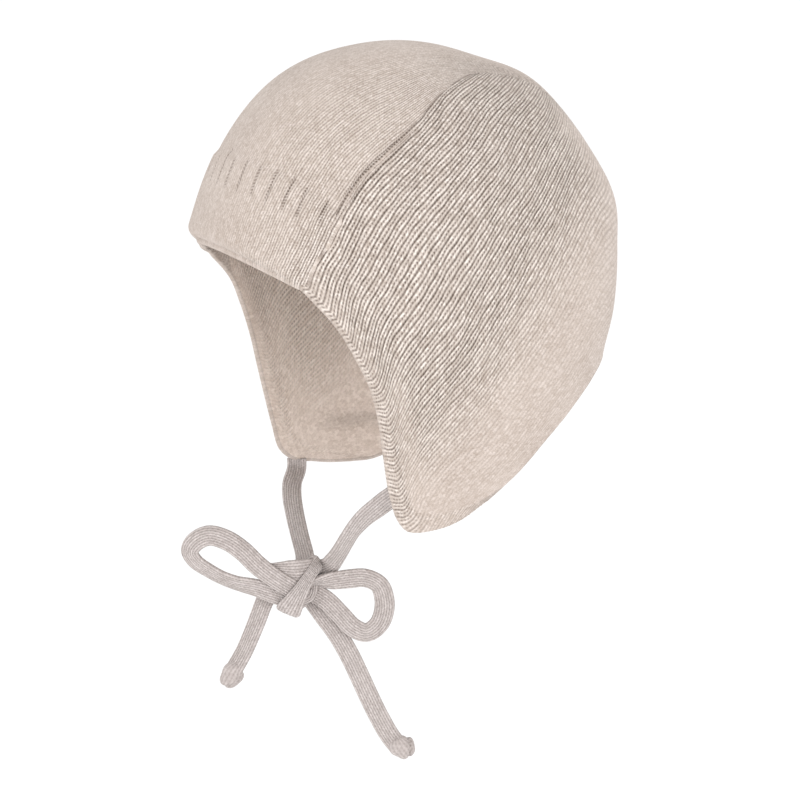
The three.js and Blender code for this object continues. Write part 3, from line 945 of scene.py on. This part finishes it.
def faded(relief, fades, back, down, lengths):
    """Relief made fainter by each row of a table of fades."""
    for row in fades:
        share = 1.0
        for name, value in (("back", back), ("down", down), ("behind", lengths)):
            if name in row:
                share = share * smoothstep(*row[name], value)
        if "before" in row:
            share = share * (1 - smoothstep(*row["before"], lengths))
        relief = relief * mix(1, row["left"], share)
    return relief


def side_panel(side):
    sign = 1 if side == "left" else -1
    share, outer, lengths = panel_grid(side)
    down = share[:, None]
    back = lengths / lengths[:, -1:]
    wales = np.repeat(down * PANEL_WALES, PANEL_ROWS, 1)
    courses = lengths / COURSE
    near_flap = smoothstep(*FLAP_SHIFT_STARTS, down)
    shift = mix(edge_shift("brow", lengths), edge_shift("flap", lengths), near_flap)
    pattern = wales + shift * (1 - smoothstep(*SHIFT_FADES, down)) + wobble(wales, courses)
    from_seam = np.minimum(wales * PANEL_WALE, lengths[:, -1:] - lengths)
    open_seam = seam_gap(profile_angle(outer[..., 1], outer[..., 2]))
    fades = PANEL_FADES + (RIGHT_FADES if side == "right" else [])
    relief = faded(1.0, fades, back, down, lengths)
    relief = relief * mix(mix(1, SEAM_RELIEF, open_seam), 1, smoothstep(*SEAM_STRIP, from_seam))
    height = GROOVE_DEPTH * (knit_relief(pattern) - 1) * relief
    height = height + WELT_RISE * mix(WELT_CLOSED, 1, open_seam) * bell(from_seam, WELT_PLACE, WELT_PLACE)
    # painted shade along the lines beside the open seam
    shade = sum(strength * bell(from_seam, at, SEAM_SHADE_WIDTH) for at, strength in SEAM_SHADE_LINES) * open_seam
    inner = inward(outer, WALL)
    # painted shade inside: a fold's shadow in the far flap, and less light deep in the crown
    inside_shade = FOLD_SHADE * bell(outer[..., 2], FOLD_HEIGHT, FOLD_WIDTH) * (side == "right")
    inside_shade = inside_shade * smoothstep(*FOLD_STARTS, outer[..., 1])
    inside_shade = inside_shade + DEPTH_SHADE * smoothstep(*DEPTH_HEIGHTS, outer[..., 2])
    outer = outer - grid_normals(outer) * height[..., None]
    flip = np.array([sign, 1, 1])
    uv = np.stack([pattern, courses], -1)
    name = f"knit_panel_{side}"
    lip = lengths < CORNER_LIP * (1 - smoothstep(*CORNER_LIP_ENDS, down))
    thing = shell_object(name, outer * flip, inner * flip, uv, relief, shade, inside_shade, sign < 0, lip)
    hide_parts(f"side_panel_{side}")
    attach(thing, "root")


# Centre band

BAND_COLUMNS = 211
BAND_RINGS = 212
BROW_RINGS = 26  # of these, within BROW_ZONE degrees of the brow
BROW_ZONE = 5.0
BROW_RADIUS = 4.7  # the brow edge rolls inwards
BROW_LIP = 6.5  # the outside shows so far round the rolled edge
BROW_ROLL_SIDE = (0.4, 0.55, 1)  # what is left of the roll on the left, and where it lessens
BROW_ROLL_ENDS = (0.72, 0.98)  # where the roll ends on the right
BAND_TUCK = 1.0  # how far the band runs on under the panels
BAND_SINK = 0.5  # how far its edges sink there
BAND_SINK_CLOSED = 0.3  # share of it where the seam is closed
BAND_SINK_WIDTH = 1.4
BAND_RELIEF = (0.2, 0.52)  # of the knit in the middle and beside the seams
BAND_RELIEF_SHARES = (0.25, 0.85)
CUFF_RELIEF = 0.85  # beside the seams
CUFF_RELIEF_SHARES = (0.82, 0.97)
CUFF_END = BROW_ANGLE + CUFF_ANGLE - 1.7  # in the middle
CUFF_END_SWAY = 3  # how far on it ends beside the seams
CUFF_END_STEP = (-1.2, 0.4)  # where the step lies about the cuff's end
BAND_GROOVE = 0.6  # depth of the grooves as a share of a panel's
BAND_SEAM_SHADE = 0.9  # painted shade line at the open seam
BAND_SEAM_SHADE_WIDTH = 0.5
BAND_FIRST_WALE = 100  # keeps the columns' numbers above zero

# How the band's columns spread: evenly across it, and beside the seams, in millimetres at the edge
BAND_FLOW = [
    dict(angle=30.5, even=11.0, seam=3.0),
    dict(angle=45, even=5.0, seam=4.5),
    dict(angle=60, even=0.0, seam=7.0),
    dict(angle=75, even=-1.0, seam=13.0),
    dict(angle=90, even=1.0, seam=22.0),
    dict(angle=110, even=2.0, seam=18.0),
    dict(angle=135, even=2.0, seam=8.0),
    dict(angle=180, even=2.0, seam=6.0),
]

# Gaps between the cuff's ribs, sunk and darkened with painted shade: distance from the middle, and the
# angles they run between
RIB_GAPS = [
    dict(across=0.0, low=42.0, high=49.0),
    dict(across=7.5, low=42.0, high=47.5),
    dict(across=16.0, low=42.3, high=48.0),
    dict(across=24.0, low=42.8, high=48.5),
    dict(across=31.7, low=43.3, high=49.5),
    dict(across=39.5, low=44.0, high=50.8),
    dict(across=46.0, low=44.2, high=50.8),
    dict(across=55.4, low=46.5, high=51.8),
]
RIB_GAP_WIDTH = 0.5
RIB_GAP_DEPTH = 0.35
RIB_GAP_SHADE = 0.75
RIB_GAP_END = 0.6  # half the angle over which a gap ends


def rib_gaps(across, angle):
    """Strength of the gaps between the cuff's ribs at points of the band."""
    total = 0 * across
    for row in RIB_GAPS:
        ends = smoothstep(row["low"] - RIB_GAP_END, row["low"] + RIB_GAP_END, angle)
        ends = ends * (1 - smoothstep(row["high"] - RIB_GAP_END, row["high"] + RIB_GAP_END, angle))
        total = total + bell(np.abs(across), row["across"], RIB_GAP_WIDTH) * ends
    return total


def centre_band():
    near_brow = np.linspace(BROW_ANGLE, BROW_ANGLE + BROW_ZONE, BROW_RINGS)
    rest = np.linspace(BROW_ANGLE + BROW_ZONE, NAPE_ANGLE, BAND_RINGS - BROW_RINGS + 1)[1:]
    angle = np.concatenate([near_brow, rest])[:, None]
    share = np.linspace(-1, 1, BAND_COLUMNS)[None]
    side = np.abs(share)
    half = band_half_width(angle) + BAND_TUCK
    outer = surface_point(angle + 0 * share, half * share)
    across = np.linalg.norm(np.diff(outer, axis=1), axis=2)
    across = np.concatenate([np.zeros((BAND_RINGS, 1)), np.cumsum(across, 1)], 1)
    across = across - across[:, -1:] / 2
    along = lengths_along(outer[:, BAND_COLUMNS // 2])[:, None] + 0 * share
    flow = smooth_value(BAND_FLOW, angle, None, "angle", "even") * share
    flow = flow + smooth_value(BAND_FLOW, angle, None, "angle", "seam") * np.sign(share) * side**3
    wales = (across + flow) / BAND_WALE + BAND_FIRST_WALE
    wales = wales + wobble(wales, along / COURSE)
    cuff_end = CUFF_END + CUFF_END_SWAY * share**2
    cuff = 1 - smoothstep(cuff_end + CUFF_END_STEP[0], cuff_end + CUFF_END_STEP[1], angle)
    edge = half * (1 - side)
    relief = mix(*BAND_RELIEF, smoothstep(*BAND_RELIEF_SHARES, side)) + 0 * angle
    relief = mix(relief, CUFF_RELIEF, cuff * smoothstep(*CUFF_RELIEF_SHARES, side))
    gaps = rib_gaps(across, angle)
    open_seam = seam_gap(angle)
    sink = BAND_SINK * mix(BAND_SINK_CLOSED, 1, open_seam)
    height = GROOVE_DEPTH * (knit_relief(wales) - 1) * relief * BAND_GROOVE
    height = height + cuff * CUFF_STEP - RIB_GAP_DEPTH * gaps
    height = height - sink * (1 - smoothstep(BAND_TUCK, BAND_TUCK + BAND_SINK_WIDTH, edge))
    least, lessens, lessened = BROW_ROLL_SIDE
    roll = BROW_RADIUS - np.sqrt(BROW_RADIUS**2 - np.maximum(BROW_RADIUS - along, 0) ** 2)
    roll = roll * mix(1, least, smoothstep(lessens, lessened, share))
    roll = roll * (1 - smoothstep(*BROW_ROLL_ENDS, -share))
    inner = inward(outer, WALL + roll)
    outer = outer - grid_normals(outer) * (height - roll)[..., None]
    # painted shade along the open seam and in the rib gaps
    shade = BAND_SEAM_SHADE * bell(edge, BAND_TUCK, BAND_SEAM_SHADE_WIDTH) * open_seam + RIB_GAP_SHADE * gaps
    uv = np.stack([wales, along / COURSE], -1)
    lip = along < BROW_LIP
    thing = shell_object("knit_band", outer, inner, uv, relief, shade, 0 * shade, True, lip)
    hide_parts("center_band")
    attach(thing, "root")


# Ties

BOW_CENTRE = np.array([0.0, -BOW_FORWARD, -BOW_DROP])
BOW_RIGHT, _, BOW_OUT = view_axes(BOW_TURN, 0.0)
BOW_AXES = np.array([BOW_RIGHT, [0.0, 0.0, 1.0], BOW_OUT])
ROUTE_STEPS = 12  # points from each row of a route to the next
ROW_STEP = 0.7  # length of tie between two rings of points
LEAST_RINGS = 4
FACE_SAMPLES = 24
FACE_CROWDING = 0.85  # below 1 the points crowd in the middle of a face
FACE_POWER = 3.2  # how flat a face is: 2 is an ellipse
FACE_RIB = 0.09  # depth of the grooves between its columns, as a share of half the thickness


def bow_points(rows):
    offsets = np.stack([column(rows, item) for item in (RIGHT, UP, FORWARD)], -1)
    return BOW_CENTRE + offsets @ BOW_AXES


def ribbon_outline():
    """Section of a flat knitted tube, as shares of its half width and half thickness."""
    x = np.linspace(-1, 1, FACE_SAMPLES + 1)
    x = np.sign(x) * np.abs(x) ** FACE_CROWDING
    rib = 1 - FACE_RIB * (1 - np.abs(np.sin(np.pi * TIE_WALES * (x + 1) / 2)))
    top = np.sqrt(1 - np.abs(x) ** FACE_POWER) * rib
    face = np.stack([x, top], -1)
    back = np.stack([x[::-1], -top[::-1]], -1)[1:-1]
    section = np.concatenate([face, back])
    return section, (section[:, 0] + 1) / 2 * TIE_WALES


def ribbon(points, turns, widths, thicknesses):
    """Flat knitted tube along rows of points: its mesh points, faces, knit map and centre line."""
    path = smooth_path(points, ROUTE_STEPS)
    rows = np.arange(len(path)) / ROUTE_STEPS
    total = lengths_along(path)[-1]
    count = max(int(total / ROW_STEP), LEAST_RINGS)
    lengths = np.linspace(0, total, count + 1)
    key = np.interp(lengths, lengths_along(path), rows)
    centre = at_lengths(path, lengths)
    index = np.arange(len(points))
    turn = np.radians(np.interp(key, index, turns))
    half_width = np.interp(key, index, widths) / 2
    half_thick = np.interp(key, index, thicknesses) / 2
    tangent = unit(np.gradient(centre, axis=0))
    across = np.cross(BOW_OUT, tangent)
    across[0] = unit(across[0])
    for k in range(1, len(across)):
        carried = across[k - 1] - (across[k - 1] @ tangent[k]) * tangent[k]
        plain = across[k] if across[k] @ carried > 0 else -across[k]
        across[k] = unit(plain + (1 - np.linalg.norm(plain)) * carried)
    face = unit(np.cross(tangent, across))
    wide = across * np.cos(turn)[:, None] + face * np.sin(turn)[:, None]
    thin = face * np.cos(turn)[:, None] - across * np.sin(turn)[:, None]
    section, face_wales = ribbon_outline()
    mesh = (
        centre[:, None]
        + wide[:, None] * (section[None, :, 0] * half_width[:, None])[..., None]
        + thin[:, None] * (section[None, :, 1] * half_thick[:, None])[..., None]
    )
    sides = len(section)
    courses = np.repeat(lengths[:, None] / TIE_COURSE, sides, 1)
    uv = np.stack([np.tile(face_wales, (count + 1, 1)), courses], -1)
    i, j = np.meshgrid(np.arange(count), np.arange(sides), indexing="ij")
    a = i * sides + j
    b = i * sides + (j + 1) % sides
    quads = np.stack([a, a + sides, b + sides, b], -1).reshape(-1, 4)
    caps = [list(range(sides)), [count * sides + k for k in range(sides)][::-1]]
    faces = [list(map(int, q)) for q in quads] + caps
    return mesh.reshape(-1, 3), faces, uv.reshape(-1, 2), centre


def surface_normal(y, z, reach=0.5):
    """Outward from the cap on the left, from the slope of its surface over a short reach."""
    slope_y = (side_width(y + reach, z) - side_width(y - reach, z)) / (2 * reach)
    slope_z = (side_width(y, z + reach) - side_width(y, z - reach)) / (2 * reach)
    return unit(np.array([1.0, -slope_y, -slope_z]))


STRAP_EXIT = 4.0  # straight length where a strap leaves its flap
LEFT_SEAT = (4.0, 13.0)  # forward and up from the flap tip
RIGHT_SEAT = 0.5  # back from the flap tip


def strap_start(side):
    """Where a strap is sewn to its flap, and the point where it leaves it."""
    if side == "left":
        y = FLAP_TIP[0] - LEFT_SEAT[0]
        z = FLAP_TIP[1] + LEFT_SEAT[1]
        skin = np.array([float(side_width(y, z)), y, z])
        away = -surface_normal(y, z)
        seat = inward(skin, WALL)
    else:
        path = smooth_path(hem_edge(side), PATH_STEPS)
        share = RIGHT_SEAT / (NAPE_CORNER[0] - FLAP_TIP[0])
        spot = at_lengths(path, share * lengths_along(path)[-1:])[0]
        skin = np.array([-float(side_width(spot[0], spot[1])), spot[0], spot[1]])
        away = np.array([0.0, 0.0, -1.0])
        seat = inward(skin, WALL / 2)
    return seat, seat + away * STRAP_EXIT


def tie(side):
    """One whole tie: strap, through the knot, loop, through the knot again, and its free end."""
    rows = STRAP_ROUTES[side] + LOOP_ROUTES[side] + TAIL_ROUTES[OTHER[side]]
    seat, leave = strap_start(side)
    points = np.concatenate([[seat, leave], bow_points(rows)])
    turns = np.concatenate([[rows[0][TURN]] * 2, column(rows, TURN)])
    full = np.ones(len(points))
    mesh, faces, uv, centre = ribbon(points, turns, full * TIE_WIDTH, full * TIE_THICKNESS)
    values = {"relief": np.ones(len(mesh))}
    thing = mesh_object(f"tie_{side}", mesh, faces, [tie_outside], None, values, uv)
    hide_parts(f"tie_strap_{side}", f"bow_loop_{side}", f"tie_tail_{OTHER[side]}")
    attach(thing, "root")


def joined_ribbons(name, bands):
    """Several short bands of tie as one mesh."""
    points = []
    faces = []
    uvs = []
    start = 0
    for rows in bands:
        sizes = [column(rows, item) for item in (TURN, WIDTH, THICKNESS)]
        mesh, own, uv, _ = ribbon(bow_points(rows), *sizes)
        points.append(mesh)
        uvs.append(uv)
        faces += [[k + start for k in f] for f in own]
        start += len(mesh)
    values = {"relief": np.ones(start)}
    return mesh_object(name, np.concatenate(points), faces, [tie_outside], None, values, np.concatenate(uvs))


def bow_knot():
    thing = joined_ribbons("bow_knot_wrap", [FAN_ROWS, WRAP_ROWS])
    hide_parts("bow_knot")
    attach(thing, "root")
    return thing


# Knots at the free ends, by the tail's side: a rounded lump with a lobe and a crease across it, darkened
# there with painted shade
END_KNOTS = {
    "left": dict(length=11.4, width=8.8, lobe=0.0, crease=0.45, shade=0.2, aside=0.6),
    "right": dict(length=9.6, width=8.8, lobe=0.35, crease=0.55, shade=0.5, aside=1.6),
}
KNOT_RINGS = 30
KNOT_SPOKES = 40
LOBE_SIDE = unit(np.array([-0.5, -0.85, 0.2]))  # down the tail, sideways and out of the bow
CREASE_SIDE = unit(np.array([0.55, 0.8, -0.25]))
CREASE_PLACE = 0.35  # along that side, as a share of the knot
CREASE_WIDTH = 0.14
LOBE_POWER = 3
LUMP_RISE = 0.05  # size of the knot's small lumps, and their turns along and sideways
LUMP_TURNS = (5, 3)
KNOT_WALES = 8  # columns of stitches round a knot
KNOT_RELIEF = 0.6


def end_knot(side):
    """The knot at a free end: a turn of the tie round itself, with a crease where it crosses."""
    size = END_KNOTS[side]
    last, before = bow_points([TAIL_ROUTES[side][-1], TAIL_ROUTES[side][-3]])
    down = unit(last - before)
    sideways = unit(np.cross(BOW_OUT, down))
    rise, around = np.meshgrid(
        np.linspace(0, math.pi, KNOT_RINGS + 1)[1:-1],
        np.linspace(0, 2 * math.pi, KNOT_SPOKES, endpoint=False),
        indexing="ij",
    )
    ring = np.stack([-np.cos(rise), np.sin(rise) * np.cos(around), np.sin(rise) * np.sin(around)], -1)
    ends = np.array([[-1.0, 0, 0], [1.0, 0, 0]])
    away = np.concatenate([ends, ring.reshape(-1, 3)])
    crease = bell(away @ CREASE_SIDE, CREASE_PLACE, CREASE_WIDTH)
    lobe = np.maximum(away @ LOBE_SIDE, 0) ** LOBE_POWER
    scale = 1 + size["lobe"] * lobe + LUMP_RISE * np.sin(away[:, :2] @ LUMP_TURNS)
    lengths = np.array([size["length"], size["width"], size["width"]]) / 2
    local = away * (lengths * scale[:, None]) - away * (size["crease"] * crease)[:, None]
    points = last + sideways * size["aside"] + local @ np.array([down, sideways, BOW_OUT])
    wales = np.concatenate([[0, 0], around.ravel() / (2 * math.pi) * KNOT_WALES])
    uv = np.stack([wales, local[:, 0] / TIE_COURSE], -1)
    faces = []
    final = 2 + (KNOT_RINGS - 2) * KNOT_SPOKES
    for j in range(KNOT_SPOKES):
        k = (j + 1) % KNOT_SPOKES
        faces.append([0, 2 + j, 2 + k])
        faces.append([1, final + k, final + j])
        for i in range(KNOT_RINGS - 2):
            a = 2 + i * KNOT_SPOKES
            faces.append([a + j, a + KNOT_SPOKES + j, a + KNOT_SPOKES + k, a + k])
    # painted shade in the crease
    values = {"relief": np.full(len(points), KNOT_RELIEF), "shade": size["shade"] * crease}
    thing = mesh_object(f"end_knot_turn_{side}", points, faces, [tie_outside], None, values, uv)
    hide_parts(f"end_knot_{side}")
    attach(thing, "root")
    return thing


knot = bow_knot()
end_knots = {side: end_knot(side) for side in ("left", "right")}
tie("left")
tie("right")
centre_band()
for side in ("left", "right"):
    side_panel(side)


# Floor and light

FLOOR_DROP = 0.06  # below the solids, in metres
FLOOR_REACH = 20.0  # in metres
LIGHT_DISTANCE = 1200
LIGHT_SIZE = 0.6
LIGHTS = [
    dict(name="key", azimuth=VIEW_AZIMUTH + 22, elevation=14, watts=4.2),
    dict(name="fill", azimuth=VIEW_AZIMUTH - 40, elevation=4, watts=2.8),
]
WORLD_STRENGTH = 1.03
WHITE = (1, 1, 1, 1)


def make_floor():
    low = cad_box[0][2] - FLOOR_DROP
    mesh = bpy.data.meshes.new("floor")
    corners = [(x * FLOOR_REACH, y * FLOOR_REACH, low) for x, y in ((-1, -1), (1, -1), (1, 1), (-1, 1))]
    mesh.from_pydata(corners, [], [(0, 1, 2, 3)])
    n = Nodes("floor")
    n.shader.inputs["Base Color"].default_value = WHITE
    n.shader.inputs["Roughness"].default_value = 1.0
    mesh.materials.append(n.material)
    floor = bpy.data.objects.new("floor", mesh)
    bpy.context.scene.collection.objects.link(floor)


def add_light(name, azimuth, elevation, watts):
    _, _, back = view_axes(azimuth, elevation)
    data = bpy.data.lights.new(name, "AREA")
    data.size = LIGHT_SIZE
    data.energy = watts
    light = bpy.data.objects.new(name, data)
    bpy.context.scene.collection.objects.link(light)
    light.location = place(back * LIGHT_DISTANCE)
    light.rotation_euler = Vector(back).to_track_quat("Z", "Y").to_euler()


def make_light():
    world = bpy.data.worlds.new("studio")
    bpy.context.scene.world = world
    world.use_nodes = True
    background = world.node_tree.nodes["Background"]
    background.inputs["Color"].default_value = WHITE
    background.inputs["Strength"].default_value = WORLD_STRENGTH
    for light in LIGHTS:
        add_light(**light)
    bpy.context.scene.view_settings.view_transform = "Standard"


make_floor()
make_light()
